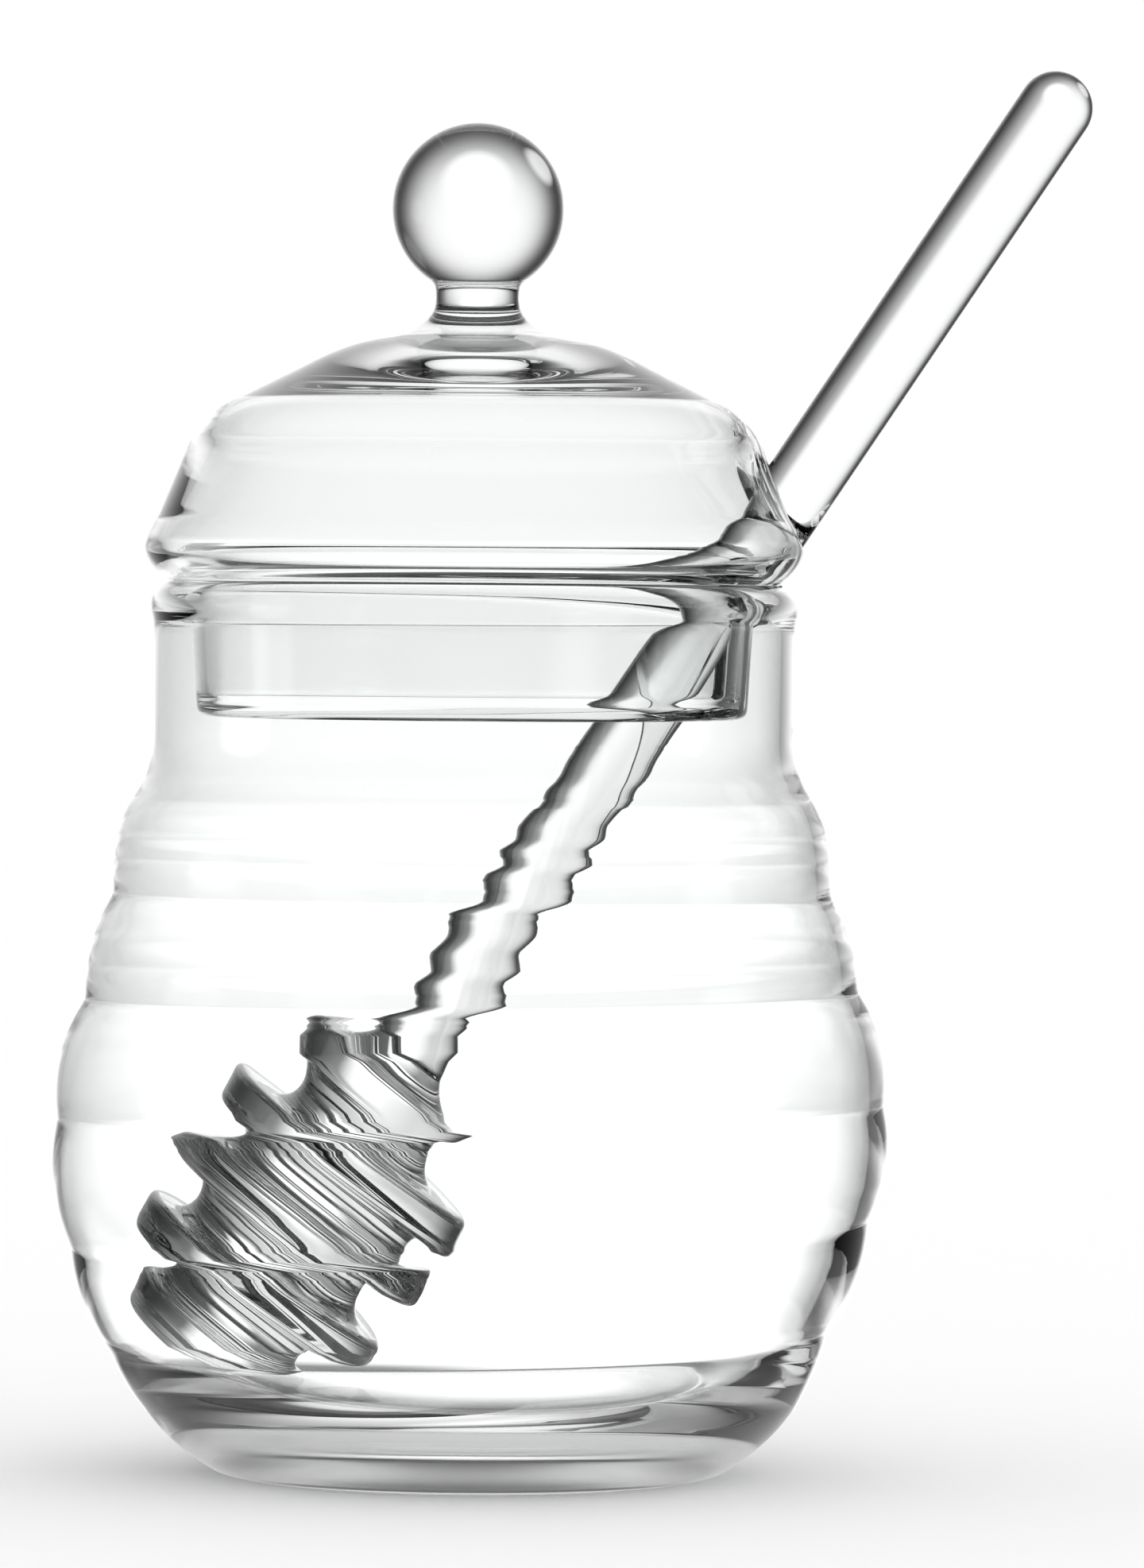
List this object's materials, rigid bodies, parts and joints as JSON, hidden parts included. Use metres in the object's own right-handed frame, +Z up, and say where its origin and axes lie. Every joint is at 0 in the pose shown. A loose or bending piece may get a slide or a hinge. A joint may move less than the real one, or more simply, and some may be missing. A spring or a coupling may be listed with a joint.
{
  "type": "honey jar with dipper",
  "caption": "Clear glass honey jar shaped like a beehive, with a domed lid, a ball knob and a ringed glass dipper that leans out through a notch in the lid.",
  "frame": {"origin": "centre of the jar's flat foot, on the jar's own axis, at the height of the surface it stands on", "axes": "+Z up along the jar's axis; +X towards the side on which the dipper leans out of the notch in the lid; +Y away from the viewer of the front"},
  "size_m": [0.1105, 0.0894, 0.1508],
  "materials": {
    "clear_glass": "clear, fire-polished"
  },
  "bodies": {
    "root": {"jar": "clear_glass", "lid": "clear_glass", "dipper": "clear_glass"}
  },
  "joints": []
}
